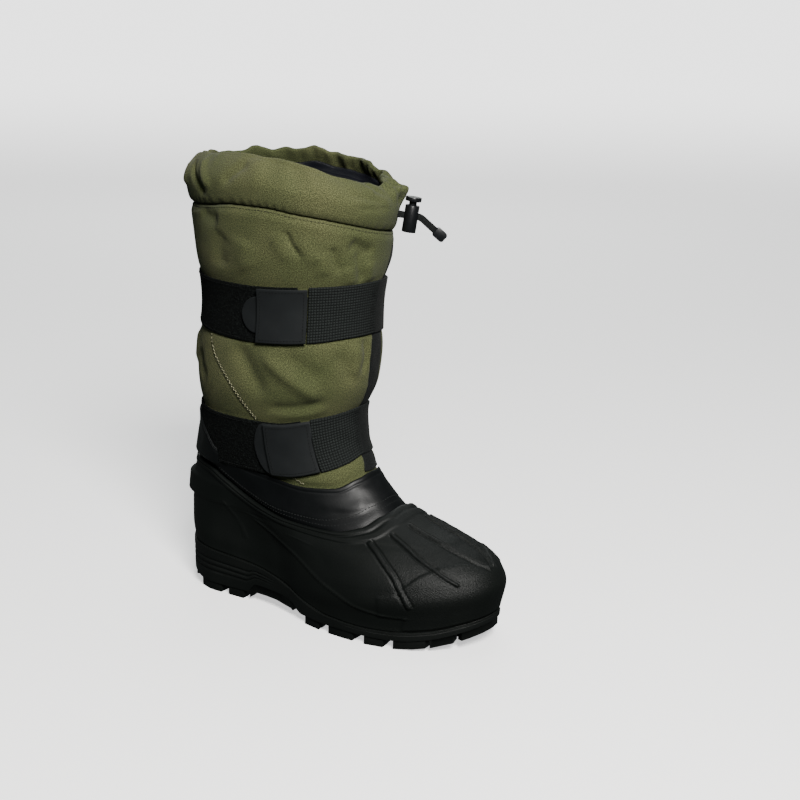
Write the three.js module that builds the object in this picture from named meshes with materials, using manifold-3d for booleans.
// Cold-weather boot for the right foot, standing on its sole.
// Millimetres. +X points to the toe, +Y to the inner side of the foot, +Z up.
// One surface, skin(), gives the outside of the whole upper. Every band, strap and
// overlay is a stretch of it, lifted off or sunk below it.
import * as THREE from 'three';
import { mergeVertices } from 'three/addons/utils/BufferGeometryUtils.js';
import Module from 'manifold-3d';

const wasm = await Module();
wasm.setup();

// Driving dimensions
const soleLength = 306;
const ballWidth = 120;
const instepHeight = 100;
const bootHeight = 376;
const calfDepth = 170;
const calfWidth = 112;
const gap = 0.3;
const columnStep = 9;

// Outsole
const sidewallHeight = 42;
const heelSeat = 26;
const lugDepth = 8;
const toeSpring = 14;
const ledgeWidth = 2;
const sidewallGroove = 0.9;
const roundLug = 24;
const roundLugDimple = 14;
const dimpleDepth = 2;
const wedgeLug = 16;
const lugReach = 31;
const chevronSpan = 34;
const chevronBar = 8;

// Upper
const shellWall = 3;
const leatherWall = 2;
const shaftWall = 5;
const cuffWall = 3.4;
const insoleThickness = 4;
const bedWall = 1;
const tuck = 11;
const rimStep = 1.3;
const toeCapStep = 1.1;
const ribHeight = 1.4;
const ribWidth = 4.6;
const creaseWidth = 3;
const spurReach = 5.5;
const spurHeight = 19;
const spurTop = 98;
const gussetWidth = 25;
const gussetDepth = 1;

// Straps
const strapWidth = 46;
const webbingThickness = 2;
const panelThickness = 1.5;
const tabThickness = 1.2;
const upperStrapHeight = 258;
const lowerStrapHeight = 142;

// Drawcord and its lock
const cordWidth = 5.6;
const cordThickness = 2.2;
const lockHeight = 22;
const lockDiameter = 11.5;
const lockBore = 7;
const buttonDiameter = 13;
const buttonHeight = 3.5;
const buttonTravel = 3;
const lockFloor = 2.5;
const stemClearance = 0.35;
const lockLean = 8;
const lockTurn = 37.5;
const lockPlace = new THREE.Vector3(196.6, 25, 322);
const cordEndLength = 11;
const cordEndWidth = 8.5;
const cordEndThickness = 5;

// Rings of the foot, heel to toe plane by plane. Heights as shares of instepHeight, back
// and front as shares of soleLength, half as a share of ballWidth. keep is how far the
// ring keeps to the outline of the last, heel and toe how long its round ends are.
const footRings = [
  { up: 0.14, rise: 0.1, sag: 0.1, back: 0.026, front: 0.98, half: 0.467, keep: 1, heel: 0.16, toe: 0.34 },
  { up: 0.28, rise: 0.1, sag: 0.12, back: 0.02, front: 0.993, half: 0.483, keep: 1, heel: 0.16, toe: 0.34 },
  { up: 0.4, rise: 0.1, sag: 0.12, back: 0.007, front: 1, half: 0.5, keep: 1, heel: 0.16, toe: 0.34 },
  { up: 0.52, rise: 0.09, sag: 0.12, back: -0.007, front: 0.987, half: 0.492, keep: 0.95, heel: 0.17, toe: 0.35 },
  { up: 0.64, rise: 0.06, sag: 0.1, back: -0.014, front: 0.951, half: 0.467, keep: 0.9, heel: 0.19, toe: 0.36 },
  { up: 0.76, rise: 0.03, sag: 0.1, back: -0.017, front: 0.873, half: 0.442, keep: 0.8, heel: 0.22, toe: 0.38 },
  { up: 0.88, rise: 0, sag: 0.11, back: -0.015, front: 0.771, half: 0.417, keep: 0.6, heel: 0.27, toe: 0.42 },
  { up: 1, rise: 0.02, sag: 0.14, back: -0.012, front: 0.667, half: 0.392, keep: 0.4, heel: 0.32, toe: 0.46 },
];

// Rings of the leg. up as a share of the height from instep to rim, rise and sag as shares
// of instepHeight, mid as a share of soleLength, depth of calfDepth, half of calfWidth.
const legRings = [
  { up: 0.043, rise: 0.05, sag: 0.08, mid: 0.306, depth: 1.11, half: 0.402, keep: 0.2, heel: 0.38, toe: 0.48 },
  { up: 0.087, rise: 0.06, sag: 0.04, mid: 0.293, depth: 1.018, half: 0.411, keep: 0.1, heel: 0.42, toe: 0.5 },
  { up: 0.145, rise: 0.06, sag: 0, mid: 0.286, depth: 0.95, half: 0.429, keep: 0, heel: 0.48, toe: 0.5 },
  { up: 0.225, rise: 0.06, sag: 0, mid: 0.286, depth: 0.912, half: 0.455, keep: 0, heel: 0.5, toe: 0.5 },
  { up: 0.344, rise: 0.05, sag: 0, mid: 0.299, depth: 0.971, half: 0.5, keep: 0, heel: 0.5, toe: 0.5 },
  { up: 0.453, rise: 0.05, sag: 0, mid: 0.309, depth: 0.982, half: 0.5, keep: 0, heel: 0.5, toe: 0.5 },
  { up: 0.562, rise: 0.05, sag: 0, mid: 0.315, depth: 0.971, half: 0.491, keep: 0, heel: 0.5, toe: 0.5 },
  { up: 0.725, rise: 0.04, sag: 0, mid: 0.319, depth: 1.029, half: 0.536, keep: 0, heel: 0.5, toe: 0.5 },
  { up: 0.833, rise: -0.05, sag: -0.06, mid: 0.319, depth: 1.065, half: 0.554, keep: 0, heel: 0.5, toe: 0.5 },
  { up: 0.924, rise: -0.1, sag: -0.1, mid: 0.317, depth: 1.105, half: 0.571, keep: 0, heel: 0.5, toe: 0.5 },
  { up: 1, rise: -0.14, sag: -0.12, mid: 0.317, depth: 1, half: 0.5, keep: 0, heel: 0.5, toe: 0.5 },
];

// Outline of the keep: half-widths as shares of a ring's half, by share of its length
const lastPlan = [
  { share: 0.00, outer: 0.77, inner: 0.73 },
  { share: 0.15, outer: 0.79, inner: 0.74 },
  { share: 0.30, outer: 0.77, inner: 0.65 },
  { share: 0.40, outer: 0.83, inner: 0.62 },
  { share: 0.50, outer: 0.99, inner: 0.80 },
  { share: 0.60, outer: 1.08, inner: 0.92 },
  { share: 0.70, outer: 1.09, inner: 0.97 },
  { share: 0.85, outer: 1.06, inner: 0.97 },
  { share: 1.00, outer: 1.00, inner: 0.95 },
];

// Side view of the sole by share of its length: top of the sidewall as a share of
// sidewallHeight, footbed of heelSeat, arch and toe lift of the tread of toeSpring
const soleSide = [
  { share: 0.00, sidewall: 0.97, bed: 1.00, tread: 0.46 },
  { share: 0.05, sidewall: 0.94, bed: 1.00, tread: 0.20 },
  { share: 0.13, sidewall: 0.91, bed: 0.99, tread: 0.00 },
  { share: 0.27, sidewall: 0.83, bed: 0.96, tread: 0.00 },
  { share: 0.305, sidewall: 0.80, bed: 0.94, tread: 0.62 },
  { share: 0.38, sidewall: 0.71, bed: 0.82, tread: 0.64 },
  { share: 0.44, sidewall: 0.60, bed: 0.70, tread: 0.52 },
  { share: 0.49, sidewall: 0.49, bed: 0.60, tread: 0.00 },
  { share: 0.58, sidewall: 0.37, bed: 0.50, tread: 0.00 },
  { share: 0.70, sidewall: 0.33, bed: 0.46, tread: 0.00 },
  { share: 0.80, sidewall: 0.35, bed: 0.49, tread: 0.02 },
  { share: 0.90, sidewall: 0.44, bed: 0.60, tread: 0.30 },
  { share: 0.96, sidewall: 0.56, bed: 0.76, tread: 0.68 },
  { share: 1.00, sidewall: 0.64, bed: 0.88, tread: 1.00 },
];

// Edges that run round the boot. turn is 0 at the heel, 90 at the outer side, 180 at the
// front and 270 at the inner side. Shell and leather as shares of instepHeight, the seam
// of the cuff as a share of bootHeight.
const edges = [
  { turn: 0, shell: 1.13, leather: 1.60, cuff: 0.899 },
  { turn: 30, shell: 1.12, leather: 1.57, cuff: 0.900 },
  { turn: 50, shell: 1.11, leather: 1.44, cuff: 0.903 },
  { turn: 66, shell: 1.03, leather: 1.28, cuff: 0.908 },
  { turn: 84, shell: 0.91, leather: 1.20, cuff: 0.916 },
  { turn: 102, shell: 0.84, leather: 1.16, cuff: 0.915 },
  { turn: 120, shell: 0.825, leather: 1.12, cuff: 0.905 },
  { turn: 138, shell: 0.87, leather: 1.13, cuff: 0.895 },
  { turn: 158, shell: 0.95, leather: 1.20, cuff: 0.881 },
  { turn: 180, shell: 0.99, leather: 1.24, cuff: 0.867 },
  { turn: 202, shell: 0.95, leather: 1.22, cuff: 0.859 },
  { turn: 222, shell: 0.87, leather: 1.15, cuff: 0.866 },
  { turn: 240, shell: 0.83, leather: 1.13, cuff: 0.876 },
  { turn: 276, shell: 0.90, leather: 1.20, cuff: 0.893 },
  { turn: 300, shell: 1.05, leather: 1.33, cuff: 0.899 },
  { turn: 330, shell: 1.12, leather: 1.56, cuff: 0.899 },
  { turn: 360, shell: 1.13, leather: 1.60, cuff: 0.899 },
];

// Middle lines of the straps, off their height, and their widths, as shares of strapWidth
const strapLines = [
  { turn: 0, upper: 0.04, upperWide: 0.96, lower: 0.02, lowerWide: 1.00 },
  { turn: 60, upper: -0.04, upperWide: 1.00, lower: -0.02, lowerWide: 1.00 },
  { turn: 90, upper: -0.05, upperWide: 1.02, lower: -0.01, lowerWide: 1.00 },
  { turn: 112, upper: -0.02, upperWide: 1.02, lower: 0.00, lowerWide: 1.00 },
  { turn: 136, upper: 0.03, upperWide: 1.00, lower: 0.12, lowerWide: 0.98 },
  { turn: 158, upper: 0.08, upperWide: 0.96, lower: 0.24, lowerWide: 0.93 },
  { turn: 180, upper: 0.10, upperWide: 0.96, lower: 0.33, lowerWide: 0.89 },
  { turn: 202, upper: 0.08, upperWide: 0.96, lower: 0.30, lowerWide: 0.89 },
  { turn: 240, upper: 0.00, upperWide: 1.00, lower: 0.10, lowerWide: 0.95 },
  { turn: 300, upper: 0.00, upperWide: 1.00, lower: 0.00, lowerWide: 1.00 },
  { turn: 360, upper: 0.04, upperWide: 0.96, lower: 0.02, lowerWide: 1.00 },
];

// Raised ribs of the vamp on the outer side, heights as shares of instepHeight
const ribs = [
  { width: ribWidth, path: [[0.845, 136], [0.77, 132.5], [0.64, 129.5], [0.52, 130], [0.38, 133]] },
  { width: creaseWidth, path: [[0.93, 152], [0.84, 148], [0.76, 147], [0.62, 148], [0.50, 153]] },
  { width: creaseWidth, path: [[0.955, 167], [0.84, 163], [0.74, 164], [0.64, 168], [0.57, 173]] },
];

// Raised line that sweeps down the side of the shell
const sideLine = [[0.77, 74], [0.62, 87], [0.41, 102], [0.31, 114], [0.285, 126], [0.29, 133]];

// Smooth value of one column at a place along a table, with averaged slopes
function along(rows, key, place, column) {
  const last = rows.length - 1;
  if (place <= rows[0][key]) return rows[0][column];
  if (place >= rows[last][key]) return rows[last][column];
  const step = (i) => (rows[i + 1][column] - rows[i][column]) / (rows[i + 1][key] - rows[i][key]);
  const slope = (i) => {
    if (i === 0) return step(0);
    if (i === last) return step(last - 1);
    const before = step(i - 1);
    const after = step(i);
    return before * after <= 0 ? 0 : (2 * before * after) / (before + after);
  };
  let i = 0;
  while (rows[i + 1][key] < place) i += 1;
  const span = rows[i + 1][key] - rows[i][key];
  const s = (place - rows[i][key]) / span;
  const ease = s * s * (3 - 2 * s);
  return rows[i][column] * (1 - ease) + rows[i + 1][column] * ease
    + span * slope(i) * s * (1 - s) * (1 - s) - span * slope(i + 1) * s * s * (1 - s);
}

// The same for tables by turn, which run on past 0 and 360
function around(rows, turn, column) {
  const place = ((turn % 360) + 360) % 360;
  const before = { ...rows[rows.length - 2], turn: rows[rows.length - 2].turn - 360 };
  const after = { ...rows[1], turn: rows[1].turn + 360 };
  return along([before, ...rows, after], 'turn', place, column);
}

const rings = [
  ...footRings.map((ring) => ({
    ...ring,
    up: ring.up * instepHeight,
    back: ring.back * soleLength,
    front: ring.front * soleLength,
    half: ring.half * ballWidth,
  })),
  ...legRings.map((ring) => ({
    ...ring,
    up: instepHeight + ring.up * (bootHeight - instepHeight),
    back: ring.mid * soleLength - (ring.depth * calfDepth) / 2,
    front: ring.mid * soleLength + (ring.depth * calfDepth) / 2,
    half: ring.half * calfWidth,
  })),
].map((ring) => ({ ...ring, rise: ring.rise * instepHeight, sag: ring.sag * instepHeight }));

const radians = (turn) => (turn * Math.PI) / 180;
const shareOf = (turn) => (1 - Math.cos(radians(turn))) / 2;
const turnOf = (share) => (Math.acos(1 - 2 * share) * 180) / Math.PI;

// Height of the ring that starts at up behind the heel, at a turn
function heightOf(up, turn) {
  const side = Math.sin(radians(turn));
  return up + along(rings, 'up', up, 'rise') * shareOf(turn) - along(rings, 'up', up, 'sag') * side * side;
}

// The ring that passes through a height at a turn
function ringAt(height, turn) {
  let low = -60;
  let high = bootHeight + 60;
  for (let i = 0; i < 32; i += 1) {
    const middle = (low + high) / 2;
    if (heightOf(middle, turn) < height) low = middle;
    else high = middle;
  }
  return (low + high) / 2;
}

function endRound(share) {
  const s = Math.min(Math.max(share, 0), 1);
  return (1 - (1 - s) ** 2.1) ** (1 / 2.1);
}

function surface(up, turn) {
  const value = (column) => along(rings, 'up', up, column);
  const share = shareOf(turn);
  const outer = Math.sin(radians(turn)) >= 0;
  const keep = value('keep');
  const plan = 1 - keep + keep * along(lastPlan, 'share', share, outer ? 'outer' : 'inner');
  const half = value('half') * plan * endRound(share / value('heel')) * endRound((1 - share) / value('toe'));
  const back = value('back');
  return new THREE.Vector3(back + (value('front') - back) * share, outer ? -half : half, heightOf(up, turn));
}

// A point of the surface, lifted along its outward normal
function skin(up, turn, lift) {
  const place = surface(up, turn);
  const forward = surface(up, turn + 0.6).sub(surface(up, turn - 0.6));
  const upward = surface(up + 0.5, turn).sub(surface(up - 0.5, turn));
  return place.addScaledVector(forward.cross(upward).normalize(), lift);
}

// The top of the sidewall runs straight from column to column, as the shell's foot does
function sidewallTop(turn) {
  const low = Math.floor(turn / columnStep) * columnStep;
  const [from, to] = [shareOf(low), shareOf(low + columnStep)];
  const s = (shareOf(turn) - from) / (to - from);
  const at = (share) => along(soleSide, 'share', share, 'sidewall') * sidewallHeight;
  return at(from) * (1 - s) + at(to) * s;
}

const bedHeight = (turn) => along(soleSide, 'share', shareOf(turn), 'bed') * heelSeat;
const treadHeight = (turn) => along(soleSide, 'share', shareOf(turn), 'tread') * toeSpring;
const groundHeight = (turn) => treadHeight(turn) + lugDepth;
const shellEdge = (turn) => around(edges, turn, 'shell') * instepHeight;
const leatherEdge = (turn) => around(edges, turn, 'leather') * instepHeight;
const cuffSeam = (turn) => around(edges, turn, 'cuff') * bootHeight;

// A closed mesh from points and triangles, turned so that its faces point out
function closedMesh(points, triangles) {
  let volume = 0;
  for (const [a, b, c] of triangles) volume += points[a].dot(points[b].clone().cross(points[c]));
  const facing = volume > 0 ? triangles : triangles.map(([a, b, c]) => [a, c, b]);
  const geometry = new THREE.BufferGeometry();
  geometry.setAttribute('position', new THREE.Float32BufferAttribute(points.flatMap((p) => p.toArray()), 3));
  geometry.setIndex(facing.flat());
  return geometry;
}

// A ring-shaped or arc-shaped solid. outer and inner run from bottom to top, and each
// entry gives the height and the lift at a turn, and how far the row is turned on.
// Arcs have as many inner as outer entries. Quads are split along the same diagonal
// outside and inside, so that pieces laid on each other stay parallel.
function band(outer, inner, turns, whole) {
  const section = [...outer, ...[...inner].reverse()];
  const size = turns.length;
  const points = section.flatMap(([height, lift, onward = 0]) => turns.map((start) => {
    const turn = start + onward;
    return skin(ringAt(height(turn), turn), turn, typeof lift === 'function' ? lift(turn) : lift);
  }));
  const at = (row, column) => (row % section.length) * size + (column % size);
  const triangles = [];
  for (let row = 0; row < section.length; row += 1) {
    for (let column = 0; column < (whole ? size : size - 1); column += 1) {
      const [a, b] = [at(row, column), at(row, column + 1)];
      const [c, d] = [at(row + 1, column + 1), at(row + 1, column)];
      if (row < outer.length) triangles.push([a, b, c], [a, c, d]);
      else triangles.push([a, b, d], [b, c, d]);
    }
  }
  for (let row = 0; !whole && row < outer.length - 1; row += 1) {
    const quad = [row, row + 1, section.length - 2 - row, section.length - 1 - row];
    for (const [column, order] of [[0, quad], [size - 1, [...quad].reverse()]]) {
      const [a, b, c, d] = order.map((corner) => at(corner, column));
      triangles.push([a, b, c], [a, c, d]);
    }
  }
  return closedMesh(points, triangles);
}

// A solid from rings with the same turns, whose first and last ring are closed by strips
// that run straight across the boot
function loaf(layers) {
  const size = layers[0].length;
  const at = (row, column) => row * size + (column % size);
  const triangles = [];
  for (let row = 0; row < layers.length - 1; row += 1) {
    for (let column = 0; column < size; column += 1) {
      triangles.push([at(row, column), at(row, column + 1), at(row + 1, column + 1)]);
      triangles.push([at(row, column), at(row + 1, column + 1), at(row + 1, column)]);
    }
  }
  for (const [row, up] of [[0, false], [layers.length - 1, true]]) {
    for (let column = 0; column < size / 2; column += 1) {
      const [a, b] = [at(row, column), at(row, column + 1)];
      const [c, d] = [at(row, size - column - 1), at(row, size - column)];
      for (const [p, q, r] of [[a, b, c], [a, c, d]]) {
        if (p !== q && q !== r && r !== p) triangles.push(up ? [p, q, r] : [p, r, q]);
      }
    }
  }
  return closedMesh(layers.flat(), triangles);
}

// A raised strip along a path of [share of instepHeight, turn] points on the surface
function strip(path, width, sink, height) {
  const rows = path.map(([up, turn], place) => ({ place, up: up * instepHeight, turn }));
  const count = Math.round((path.length - 1) * 1.5);
  const layers = [];
  for (let i = 0; i <= count; i += 1) {
    const value = (place, column) => along(rows, 'place', place, column);
    const at = (place, lift) => skin(value(place, 'up'), value(place, 'turn'), lift);
    const place = (i / count) * (path.length - 1);
    const low = at(place, -sink);
    const high = at(place, height);
    const ahead = at(Math.min(place + 0.05, path.length - 1), 0).sub(at(Math.max(place - 0.05, 0), 0));
    const side = ahead.cross(high.clone().sub(low)).normalize();
    const reach = width / 2;
    layers.push([
      low.clone().addScaledVector(side, reach),
      high.clone().addScaledVector(side, reach * 0.6),
      high.clone().addScaledVector(side, -reach * 0.6),
      low.clone().addScaledVector(side, -reach),
    ]);
  }
  const triangles = [[0, 1, 2], [0, 2, 3]];
  const end = count * 4;
  triangles.push([end, end + 2, end + 1], [end, end + 3, end + 2]);
  for (let i = 0; i < count; i += 1) {
    for (let corner = 0; corner < 4; corner += 1) {
      const [a, b] = [i * 4 + corner, i * 4 + ((corner + 1) % 4)];
      triangles.push([a, a + 4, b + 4], [a, b + 4, b]);
    }
  }
  return closedMesh(layers.flat(), triangles);
}

function toSolid(geometry) {
  const bare = geometry.clone();
  bare.deleteAttribute('normal');
  bare.deleteAttribute('uv');
  const merged = mergeVertices(bare, 1e-4);
  return new wasm.Manifold(new wasm.Mesh({
    numProp: 3,
    vertProperties: new Float32Array(merged.attributes.position.array),
    triVerts: new Uint32Array(merged.index.array),
  }));
}

function toGeometry(solid) {
  const { vertProperties, triVerts } = solid.getMesh();
  const geometry = new THREE.BufferGeometry();
  geometry.setAttribute('position', new THREE.BufferAttribute(vertProperties, 3));
  geometry.setIndex(new THREE.BufferAttribute(triVerts, 1));
  return geometry;
}

function joined(base, additions) {
  const sum = additions.reduce((solid, geometry) => solid.add(toSolid(geometry)), toSolid(base));
  return toGeometry(sum);
}

const boot = new THREE.Group();

function addPiece(name, geometry, finish, parent = boot) {
  const material = new THREE.MeshStandardMaterial(finish);
  const piece = new THREE.Mesh(geometry, material);
  piece.name = name;
  parent.add(piece);
  return piece;
}

// Finishes
const rubber = { color: 0x202523, roughness: 0.45, metalness: 0 };
const treadRubber = { color: 0x1d2220, roughness: 0.7, metalness: 0 };
const leather = { color: 0x17191a, roughness: 0.3, metalness: 0 };
const oliveNylon = { color: 0x6f7150, roughness: 0.85, metalness: 0 };
const blackNylon = { color: 0x1a1d1e, roughness: 0.8, metalness: 0 };
const webbing = { color: 0x252a2c, roughness: 0.9, metalness: 0 };
const loopPile = { color: 0x202426, roughness: 1, metalness: 0 };
const tabSheet = { color: 0x2c3133, roughness: 0.6, metalness: 0 };
const moulded = { color: 0x1b1e20, roughness: 0.35, metalness: 0 };
const felt = { color: 0x30343a, roughness: 1, metalness: 0 };

// Turns of the columns
const fullTurns = Array.from({ length: 360 / columnStep }, (_, i) => i * columnStep);

function arcTurns(from, to) {
  const inside = [];
  const first = Math.ceil((from + 1) / columnStep) * columnStep;
  for (let turn = first; turn < to - 1; turn += columnStep) inside.push(turn);
  return [from, ...inside, to];
}

const between = (low, high, share) => (turn) => low(turn) + (high(turn) - low(turn)) * share;
const above = (line, rise) => (turn) => line(turn) + rise;

// Outsole: a cup with a ledge that the shell stands on
const breaks = soleSide.map((row) => turnOf(row.share));
const nearest = 2.4;
const farFromBreaks = (turn) => breaks.every((at) => Math.abs(at - turn) > nearest);
const outerTurns = [...fullTurns.filter(farFromBreaks), ...breaks]
  .filter((turn) => turn > 0 && turn < 180)
  .sort((a, b) => a - b);
const soleTurns = [0, ...outerTurns, 180, ...[...outerTurns].reverse().map((turn) => 360 - turn)];

function soleEdge(turn, out, height) {
  const at = (place) => surface(ringAt(sidewallTop(place), place), place);
  const place = at(turn);
  const forward = at(turn + 0.6).sub(at(turn - 0.6));
  const outward = new THREE.Vector3(forward.y, -forward.x, 0).normalize();
  return place.addScaledVector(outward, out).setZ(height);
}

const soleLayer = (out, height) => soleTurns.map((turn) => soleEdge(
  turn,
  typeof out === 'function' ? out(turn) : out,
  height(turn),
));
const grooveFade = (turn) => Math.min(Math.max((0.4 - shareOf(turn)) / 0.08, 0), 1);
const grooved = (turn) => ledgeWidth - sidewallGroove * grooveFade(turn);
const sidewallAt = (share) => between(groundHeight, sidewallTop, share);
const treadInset = 1;
const grooveSpan = 0.13;
const grooveLevels = [0.36, 0.52, 0.68];
const bedEdge = -(shellWall + gap + bedWall);
const bedSlope = 0.6;

const soleBody = loaf([
  soleLayer(ledgeWidth - treadInset, groundHeight),
  soleLayer(ledgeWidth, sidewallAt(grooveLevels[0] - grooveSpan / 2)),
  ...grooveLevels.flatMap((level) => [
    soleLayer(grooved, sidewallAt(level)),
    soleLayer(ledgeWidth, sidewallAt(level + grooveSpan / 2)),
  ]),
  soleLayer(ledgeWidth, sidewallTop),
  soleLayer(bedEdge, sidewallTop),
  soleLayer(bedEdge - bedSlope, bedHeight),
]);
const lugSeat = 1;
const lugInset = treadInset + 0.2;
const lugBlock = loaf([
  soleLayer(ledgeWidth - lugInset, treadHeight),
  soleLayer(ledgeWidth - lugInset, above(groundHeight, lugSeat)),
]);

// Lugs in plan. side is -1 on the outer and 1 on the inner edge of the foot.
const overrun = 8;
const edgeAt = (share, side) => soleEdge(side < 0 ? turnOf(share) : 360 - turnOf(share), 0, 0).y;

function outline(points) {
  return new THREE.Shape(points.map(([x, y]) => new THREE.Vector2(x, y)));
}

function roundOutline(share, side) {
  const x = share * soleLength;
  const edge = edgeAt(share, side);
  const reach = roundLug / 2;
  const middle = edge - side * reach;
  const steps = 6;
  const arc = Array.from({ length: steps + 1 }, (_, i) => {
    const angle = (Math.PI * i) / steps;
    return [x - reach * Math.cos(angle), middle - side * reach * Math.sin(angle)];
  });
  return outline([[x - reach, edge + side * overrun], ...arc, [x + reach, edge + side * overrun]]);
}

function wedgeOutline(share, side, reach) {
  const x = share * soleLength;
  const edge = edgeAt(share, side);
  const wide = wedgeLug / 2;
  const tip = edge - side * reach;
  return outline([
    [x - wide, edge + side * overrun],
    [x - wide, edge - side * 4],
    [x - wide * 0.35, tip + side * 3],
    [x, tip],
    [x + wide * 0.45, tip + side * 2],
    [x + wide, edge - side * 6],
    [x + wide, edge + side * overrun],
  ]);
}

// Part of a ring round a centre, from one angle to another, in degrees
function arcOutline(x, y, near, far, from, to) {
  const steps = 6;
  const arc = (radius, start, end) => Array.from({ length: steps + 1 }, (_, i) => {
    const angle = radians(start + ((end - start) * i) / steps);
    return [x + radius * Math.cos(angle), y + radius * Math.sin(angle)];
  });
  return outline([...arc(near, from, to), ...arc(far, to, from)]);
}

function barOutline(from, to, half) {
  return outline([[from, -half], [to, -half], [to, half], [from, half]]);
}

function chevronOutline(share, y, span, point) {
  const x = share * soleLength;
  const half = span / 2;
  return outline([
    [x, y - half], [x + chevronBar, y - half], [x + chevronBar + point, y],
    [x + chevronBar, y + half], [x, y + half], [x + point, y],
  ]);
}

function prism(shape) {
  const geometry = new THREE.ExtrudeGeometry(shape, { depth: sidewallHeight * 2, bevelEnabled: false });
  return geometry.translate(0, 0, -sidewallHeight);
}

const heelReach = lugReach - 7;
const toeReach = lugReach - 9;
const perimeterLugs = [
  { kind: 'wedge', share: 0.908, side: -1, reach: toeReach },
  { kind: 'round', share: 0.832, side: -1 },
  { kind: 'wedge', share: 0.738, side: -1 },
  { kind: 'round', share: 0.636, side: -1 },
  { kind: 'wedge', share: 0.535, side: -1 },
  { kind: 'wedge', share: 0.904, side: 1, reach: toeReach },
  { kind: 'round', share: 0.812, side: 1 },
  { kind: 'wedge', share: 0.712, side: 1 },
  { kind: 'round', share: 0.610, side: 1 },
  { kind: 'wedge', share: 0.518, side: 1 },
  { kind: 'wedge', share: 0.235, side: -1, reach: heelReach },
  { kind: 'round', share: 0.142, side: -1 },
  { kind: 'wedge', share: 0.235, side: 1, reach: heelReach },
  { kind: 'round', share: 0.142, side: 1 },
];
const centreLine = 3;
const centreLugs = [
  { share: 0.815, span: 0.85, point: 5 },
  { share: 0.738, span: 1.00, point: 5 },
  { share: 0.660, span: 1.05, point: 5 },
  { share: 0.582, span: 0.95, point: 5 },
  { share: 0.508, span: 0.75, point: 5 },
  { share: 0.225, span: 0.50, point: -4 },
  { share: 0.160, span: 0.45, point: -4 },
];
const waist = { from: 0.285, to: 0.455, rim: 6 };
const waistBars = [[0.312, 0.342], [0.360, 0.390], [0.408, 0.438]];
const toeCentre = [0.815 * soleLength, 0.03 * ballWidth];
const heelCentre = [0.145 * soleLength, -0.01 * ballWidth];
const lugOutlines = [
  ...perimeterLugs.map(({ kind, share, side, reach = lugReach }) => (
    kind === 'round' ? roundOutline(share, side) : wedgeOutline(share, side, reach))),
  ...centreLugs.map(({ share, span, point }) => (
    chevronOutline(share, centreLine, span * chevronSpan, point))),
  ...waistBars.map(([from, to]) => barOutline(from * soleLength, to * soleLength, ballWidth)),
  arcOutline(...toeCentre, 0.36 * ballWidth, 0.80 * ballWidth, -38, 38),
  arcOutline(...toeCentre, 0.24 * ballWidth, 0.30 * ballWidth, -50, 50),
  arcOutline(...heelCentre, 0.30 * ballWidth, 0.62 * ballWidth, 132, 228),
  arcOutline(...heelCentre, 0.18 * ballWidth, 0.235 * ballWidth, 128, 232),
];
// The waist keeps a smooth side: a rim follows its edge and hides the ends of the bars
const waistInside = loaf([
  soleLayer(ledgeWidth - lugInset - waist.rim, above(treadHeight, -lugDepth)),
  soleLayer(ledgeWidth - lugInset - waist.rim, above(groundHeight, lugDepth)),
]);
const waistZone = barOutline(waist.from * soleLength, waist.to * soleLength, ballWidth);
const waistRim = toSolid(prism(waistZone)).subtract(toSolid(waistInside));
const lugs = lugOutlines
  .map((shape) => toSolid(prism(shape)))
  .reduce((sum, lug) => sum.add(lug), waistRim)
  .intersect(toSolid(lugBlock));
const dimples = perimeterLugs.filter(({ kind }) => kind === 'round').map(({ share, side }) => {
  const middle = edgeAt(share, side) - side * (roundLug / 2);
  const disc = new THREE.CylinderGeometry(roundLugDimple / 2, roundLugDimple / 2, dimpleDepth * 2, 8);
  const low = treadHeight(turnOf(share));
  return disc.rotateX(Math.PI / 2).translate(share * soleLength, middle, low);
});
const sole = dimples.reduce((sum, disc) => sum.subtract(toSolid(disc)), toSolid(soleBody).add(lugs));
addPiece('outsole', toGeometry(sole), treadRubber);

const insoleEdge = bedEdge - bedSlope - 2 * gap;
addPiece('insole', loaf([
  soleLayer(insoleEdge, above(bedHeight, gap)),
  soleLayer(insoleEdge, above(bedHeight, gap + insoleThickness)),
]), felt);

// Shell: moulded rubber, open at the top and underneath
const shellFoot = above(sidewallTop, gap);
const shellAt = (share) => between(shellFoot, shellEdge, share);

// Two raised bands under the top edge: drop below the edge, step as a share of rimStep
const rimRows = [
  { drop: 10.5, step: 0 },
  { drop: 9.8, step: 1 },
  { drop: 6.6, step: 1 },
  { drop: 5.8, step: 0.25 },
  { drop: 4.6, step: 0.9 },
  { drop: 1, step: 0.9 },
  { drop: 0, step: 0.2 },
];
const shellWallSolid = band(
  [
    ...[0, 0.14, 0.36, 0.64].map((share) => [shellAt(share), 0]),
    ...rimRows.map(({ drop, step }) => [above(shellEdge, -drop), step * rimStep]),
  ],
  [
    [shellFoot, -shellWall],
    [shellAt(0.25), -shellWall],
    [shellAt(0.6), -shellWall],
    [above(shellEdge, -tuck), -shellWall],
    [shellEdge, -shellWall],
  ],
  fullTurns,
  true,
);

// A patch of the surface between two edges, standing proud by a step
function patch(turns, low, high, rows, step) {
  const levels = Array.from({ length: rows + 1 }, (_, i) => between(low, high, i / rows));
  const sunk = shellWall / 2;
  return band(levels.map((level) => [level, step]), levels.map((level) => [level, -sunk]), turns, false);
}

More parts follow.
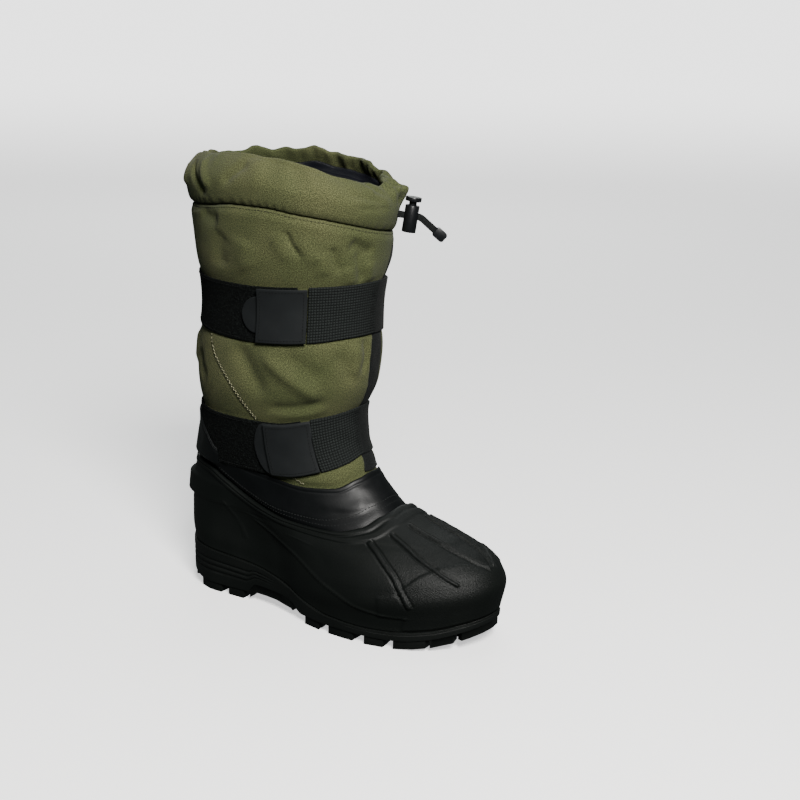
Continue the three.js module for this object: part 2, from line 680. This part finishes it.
const toeCapLine = [
  { turn: 130, height: 0.54 },
  { turn: 141, height: 0.65 },
  { turn: 153, height: 0.70 },
  { turn: 180, height: 0.71 },
  { turn: 207, height: 0.70 },
  { turn: 219, height: 0.65 },
  { turn: 230, height: 0.54 },
];
const toeCapTop = (turn) => along(toeCapLine, 'turn', turn, 'height') * instepHeight;
const footMargin = 2.5;
const toeCap = patch(arcTurns(130, 230), above(sidewallTop, footMargin), toeCapTop, 4, toeCapStep);
const corner = { from: 121, peak: 128, to: 133.5, foot: 0.18, top: 0.5, fall: 0.35 };
const cornerFoot = above(sidewallTop, corner.foot * instepHeight);
const cornerTop = (turn) => corner.top * instepHeight - Math.abs(turn - corner.peak) * corner.fall;
const cornerPatch = patch(arcTurns(corner.from, corner.to), cornerFoot, cornerTop, 2, toeCapStep * 0.8);
const spurTurn = 40;
const spurFade = (reach) => (turn) => reach * Math.cos(radians((turn / spurTurn) * 84)) ** 0.7;
const spurLevel = (drop) => () => spurTop - drop;
const spur = band(
  [[spurLevel(spurHeight), spurFade(0.8)], [spurLevel(spurHeight - 1), spurFade(spurReach * 0.7)],
    [spurLevel(3), spurFade(spurReach)], [spurLevel(0), spurFade(spurReach * 0.7)]],
  [spurHeight, spurHeight - 1, 3, 0].map((drop) => [spurLevel(drop), -shellWall / 2]),
  arcTurns(-spurTurn, spurTurn),
  false,
);
const mirrored = (path) => path.map(([up, turn]) => [up, 360 - turn]);
const lineWidth = 2.2;
const lineHeight = 0.9;
const shellLines = [
  ...ribs.flatMap(({ width, path }) => (
    [path, mirrored(path)].map((line) => strip(line, width, 1, ribHeight + toeCapStep)))),
  strip(sideLine, lineWidth, 1, lineHeight),
  strip(mirrored(sideLine), lineWidth, 1, lineHeight),
];
addPiece('shell', joined(shellWallSolid, [toeCap, cornerPatch, spur, ...shellLines]), rubber);

// Leather collar, tucked into the shell
const leatherUnder = -(shellWall + gap);
const swell = { rise: 7, sink: 0.4, top: 0.1 };
const leatherSwell = above(shellEdge, swell.rise);
addPiece('leather_collar', band(
  [
    [above(shellEdge, -tuck), leatherUnder],
    [shellEdge, leatherUnder],
    [leatherSwell, -swell.sink],
    [between(leatherSwell, leatherEdge, 0.5), -swell.top],
    [leatherEdge, -swell.top],
  ],
  [
    [above(shellEdge, -tuck), leatherUnder - leatherWall],
    [shellEdge, leatherUnder - leatherWall],
    [leatherSwell, -leatherWall - swell.sink],
    [above(leatherEdge, -tuck), -leatherWall],
    [leatherEdge, -leatherWall],
  ],
  fullTurns,
  true,
), leather);

// Shaft, tucked into the leather below and under the cuff above
const shaftUnder = -(leatherWall + gap);
const cuffUnder = -(cuffWall + gap);
const strapLevel = (name, height, side) => (turn) => height
  + (around(strapLines, turn, name) + (side * around(strapLines, turn, `${name}Wide`)) / 2) * strapWidth;
const lowerLevel = (side) => strapLevel('lower', lowerStrapHeight, side);
const upperLevel = (side) => strapLevel('upper', upperStrapHeight, side);
const highest = (...lines) => (turn) => Math.max(...lines.map((line) => line(turn)));
const shaftFoot = above(leatherEdge, 6);
const lowerMiddle = highest(lowerLevel(0), above(shaftFoot, 1.5));
const lowerTop = highest(lowerLevel(1), above(lowerMiddle, 1.5));
const shaftAt = (share) => between(leatherEdge, cuffSeam, share);
const shaftLevels = [
  shaftFoot,
  lowerMiddle,
  lowerTop,
  between(lowerTop, upperLevel(-1), 0.5),
  upperLevel(-1),
  upperLevel(0),
  upperLevel(1),
  between(upperLevel(1), cuffSeam, 0.5),
  above(cuffSeam, -3),
];
const shaftBody = band(
  [
    [above(leatherEdge, -tuck), shaftUnder],
    [leatherEdge, shaftUnder],
    ...shaftLevels.map((level) => [level, 0]),
    [above(cuffSeam, -0.6), cuffUnder - gap],
    [above(cuffSeam, tuck), cuffUnder - gap],
  ],
  [
    [above(leatherEdge, -tuck), shaftUnder - shaftWall + 1],
    [above(leatherEdge, 8), -shaftWall],
    [shaftAt(0.4), -shaftWall],
    [shaftAt(0.8), -shaftWall],
    [above(cuffSeam, tuck), cuffUnder - shaftWall + 1],
  ],
  fullTurns,
  true,
);

// Strip let into the front of the shaft. share runs from its foot to its head.
const gussetLine = [
  { share: 0, turn: 187 },
  { share: 0.28, turn: 184 },
  { share: 0.48, turn: 182 },
  { share: 0.58, turn: 187 },
  { share: 0.72, turn: 198 },
  { share: 1, turn: 211 },
];
const gussetFoot = leatherEdge(gussetLine[0].turn) + 8;
const gussetHead = cuffSeam(gussetLine[gussetLine.length - 1].turn) - 5;
const gussetHalf = (gussetWidth / 2 / (calfWidth / 2)) * (180 / Math.PI);

function gussetBand(grow, low, high) {
  const wide = gussetHalf * (1 + (2 * grow) / gussetWidth);
  const count = 9;
  const rows = Array.from({ length: count + 1 }, (_, i) => {
    const height = gussetFoot + ((gussetHead - gussetFoot) * i) / count;
    const ends = { 0: -grow, [count]: grow };
    return {
      height: () => height + (ends[i] ?? 0),
      turn: along(gussetLine, 'share', i / count, 'turn'),
    };
  });
  const side = (lift) => rows.map(({ height, turn }) => [height, lift, turn]);
  return band(side(high), side(low), [-1, 0, 1].map((share) => share * wide), false);
}

const proud = 8;
const shaft = toSolid(shaftBody).subtract(toSolid(gussetBand(gap, -gussetDepth - gap, proud)));
const gusset = toSolid(shaftBody).intersect(toSolid(gussetBand(0, -gussetDepth, proud)));
addPiece('shaft', toGeometry(shaft), oliveNylon);
addPiece('front_gusset', toGeometry(gusset), blackNylon);

// Cuff: puffed above its seam and gathered towards the rim, most at the front
const gathers = 12;
const gatherDepth = 1.6;
const rim = (turn) => heightOf(bootHeight, turn);
const cuffAt = (share) => between(cuffSeam, rim, share);
const gather = (base, share) => (turn) => (
  base + gatherDepth * share * (0.7 - 0.3 * Math.cos(radians(turn))) * Math.sin(radians(turn) * gathers));
addPiece('cuff', band(
  [
    [cuffSeam, -0.2],
    [above(cuffSeam, 4), 1.3],
    [cuffAt(0.34), gather(2.4, 0.4)],
    [cuffAt(0.7), gather(1.4, 0.9)],
    [above(rim, -2), gather(0.8, 1)],
    [rim, gather(-0.6, 1)],
  ],
  [
    [cuffSeam, -cuffWall],
    [above(cuffSeam, tuck + 2), -cuffWall],
    [cuffAt(0.66), gather(1.4 - cuffWall, 0.9)],
    [above(rim, -1), gather(0.4 - cuffWall, 1)],
  ],
  fullTurns,
  true,
), oliveNylon);

// Straps. Each closes with a tab on a panel of loop pile; webbing runs round the front.
const strapLift = 0.5;
const stackGap = 0.55;
const tabLift = strapLift + panelThickness + stackGap;
const coverLift = tabLift + tabThickness + stackGap;
const strapGapTurn = 0.35;

function strapMaker(name, height) {
  return (turns, lift, thickness, share = () => 1) => {
    const levels = [-1, 0, 1].map((side) => (turn) => strapLevel(name, height, side * share(turn))(turn));
    const raised = (height) => levels.map((level) => [level, height]);
    return band(raised(lift + thickness), raised(lift), turns, false);
  };
}

// Turns of a piece whose end at from is rounded over a stretch, and its width there
function tipTurns(from, length, to) {
  const eased = [0, 0.08, 0.25, 0.5, 0.75].map((share) => from + share * length);
  return [...eased, ...arcTurns(from + length, to)];
}
const bluntness = 0.3;
const tipShare = (from, length, full) => (turn) => {
  const s = Math.min(Math.max((turn - from) / length, 0), 1);
  return full * Math.max(Math.sqrt(1 - (1 - s) ** 2), bluntness);
};

// Turns of the tab from its tip to its end, of the pile under it, and of where the webbing
// meets the anchor; tabShare is the width of the tab as a share of the strap's
const strapPlaces = [
  { name: 'upper', tip: 87, cover: 98, tabEnd: 128.6, pileTo: 122, joint: 181, tabShare: 0.66 },
  { name: 'lower', tip: 97, cover: 105, tabEnd: 136.6, pileTo: 130, joint: 179, tabShare: 0.98 },
];
const strapHeights = { upper: upperStrapHeight, lower: lowerStrapHeight };
const pileFrom = -26;
const anchorEnd = 333.6;
const coverShare = 0.97;
for (const place of strapPlaces) {
  const strap = strapMaker(place.name, strapHeights[place.name]);
  const label = `${place.name}_strap`;
  const tipLength = place.cover - place.tip;
  addPiece(`${label}_loop_panel`, strap(
    arcTurns(pileFrom, place.pileTo),
    strapLift,
    panelThickness,
  ), loopPile);
  addPiece(`${label}_tab`, strap(
    tipTurns(place.tip, tipLength, place.tabEnd),
    tabLift,
    tabThickness,
    tipShare(place.tip, tipLength, place.tabShare),
  ), tabSheet);
  addPiece(`${label}_tab_cover`, strap(
    arcTurns(place.cover, place.tabEnd),
    coverLift,
    tabThickness,
    () => coverShare,
  ), tabSheet);
  addPiece(`${label}_webbing`, strap(
    arcTurns(place.tabEnd + strapGapTurn, place.joint),
    strapLift,
    webbingThickness,
  ), webbing);
  addPiece(`${label}_anchor`, strap(
    arcTurns(place.joint + strapGapTurn, anchorEnd),
    strapLift,
    webbingThickness,
  ), blackNylon);
}

// Lock of the drawcord, in its own frame: z up the barrel, x along the cord
const lock = new THREE.Group();
lock.rotation.order = 'ZYX';
lock.rotation.set(0, radians(lockLean), radians(lockTurn));
lock.position.copy(lockPlace);
boot.add(lock);

const cordLevel = lockHeight * 0.6;
const cordClearance = 0.35;
const through = lockDiameter * 2;
const slot = (low, high) => new THREE.BoxGeometry(through, cordThickness + 2 * cordClearance, high - low)
  .translate(0, 0, (low + high) / 2);
const upright = (radius, low, high, sides = 20) => (
  new THREE.CylinderGeometry(radius, radius, high - low, sides)
    .rotateX(Math.PI / 2).translate(0, 0, (low + high) / 2));
const cordLow = cordLevel - cordWidth / 2 - cordClearance;
const cordHigh = cordLevel + cordWidth / 2 + cordClearance;

const barrel = toSolid(upright(lockDiameter / 2, 0, lockHeight))
  .subtract(toSolid(upright(lockBore / 2, lockFloor, lockHeight + 1)))
  .subtract(toSolid(slot(cordLow, cordHigh)));
addPiece('cord_lock_barrel', toGeometry(barrel), moulded, lock);

const stemLow = lockFloor + buttonTravel + 0.8;
const headLow = lockHeight + buttonTravel;
const button = toSolid(upright(lockBore / 2 - stemClearance, stemLow, headLow + 1))
  .add(toSolid(upright(buttonDiameter / 2, headLow, headLow + buttonHeight, 24)))
  .subtract(toSolid(slot(cordLow, cordHigh + buttonTravel)));
addPiece('cord_lock_button', toGeometry(button), moulded, lock);

// Free end of the flat drawcord, from the cuff through the lock: reach along the lock's x
// and drop below the level of its slot
const cordRoute = [
  { reach: -11, drop: 0 },
  { reach: -6, drop: 0 },
  { reach: 0, drop: 0 },
  { reach: 6, drop: 0 },
  { reach: 9, drop: 1 },
  { reach: 13, drop: 3.6 },
  { reach: 17.4, drop: 6.5 },
  { reach: 20.6, drop: 8.6 },
];
const cordPoints = cordRoute.map(({ reach, drop }) => new THREE.Vector3(reach, 0, cordLevel - drop));
const cordCurve = new THREE.CatmullRomCurve3(cordPoints, false, 'centripetal');
const bevel = cordThickness * 0.25;
const [halfWide, halfThick] = [cordWidth / 2, cordThickness / 2];
const cordSection = outline([
  [-halfWide + bevel, -halfThick], [halfWide - bevel, -halfThick], [halfWide, -halfThick + bevel],
  [halfWide, halfThick - bevel], [halfWide - bevel, halfThick], [-halfWide + bevel, halfThick],
  [-halfWide, halfThick - bevel], [-halfWide, -halfThick + bevel],
]);
addPiece('drawcord', new THREE.ExtrudeGeometry(cordSection, {
  steps: 12,
  extrudePath: cordCurve,
  bevelEnabled: false,
}), blackNylon, lock);

// Moulded end of the cord
const routeEnd = cordCurve.getPoint(1);
const routeWay = cordCurve.getTangent(1);
const endShape = outline([
  [gap, -cordEndWidth * 0.38],
  [2, -cordEndWidth / 2],
  [cordEndLength - 1.5, -cordEndWidth / 2],
  [cordEndLength, -cordEndWidth * 0.36],
  [cordEndLength, cordEndWidth * 0.36],
  [cordEndLength - 1.5, cordEndWidth / 2],
  [2, cordEndWidth / 2],
  [gap, cordEndWidth * 0.38],
]);
const endGeometry = new THREE.ExtrudeGeometry(endShape, { depth: cordEndThickness, bevelEnabled: false })
  .translate(0, 0, -cordEndThickness / 2)
  .rotateX(Math.PI / 2)
  .rotateY(Math.atan2(-routeWay.z, routeWay.x))
  .translate(...routeEnd.toArray());
addPiece('cord_end', endGeometry, moulded, lock);

// The origin lies on the floor under the middle of the boot without its cord
const cordPieces = ['drawcord', 'cord_lock_barrel', 'cord_lock_button', 'cord_end'];
boot.updateMatrixWorld(true);
const box = new THREE.Box3();
boot.traverse((piece) => {
  if (piece.isMesh && !cordPieces.includes(piece.name)) box.expandByObject(piece, true);
});
const middle = box.getCenter(new THREE.Vector3());
boot.position.set(-middle.x, -middle.y, -box.min.z);
boot.updateMatrixWorld(true);

export default boot;
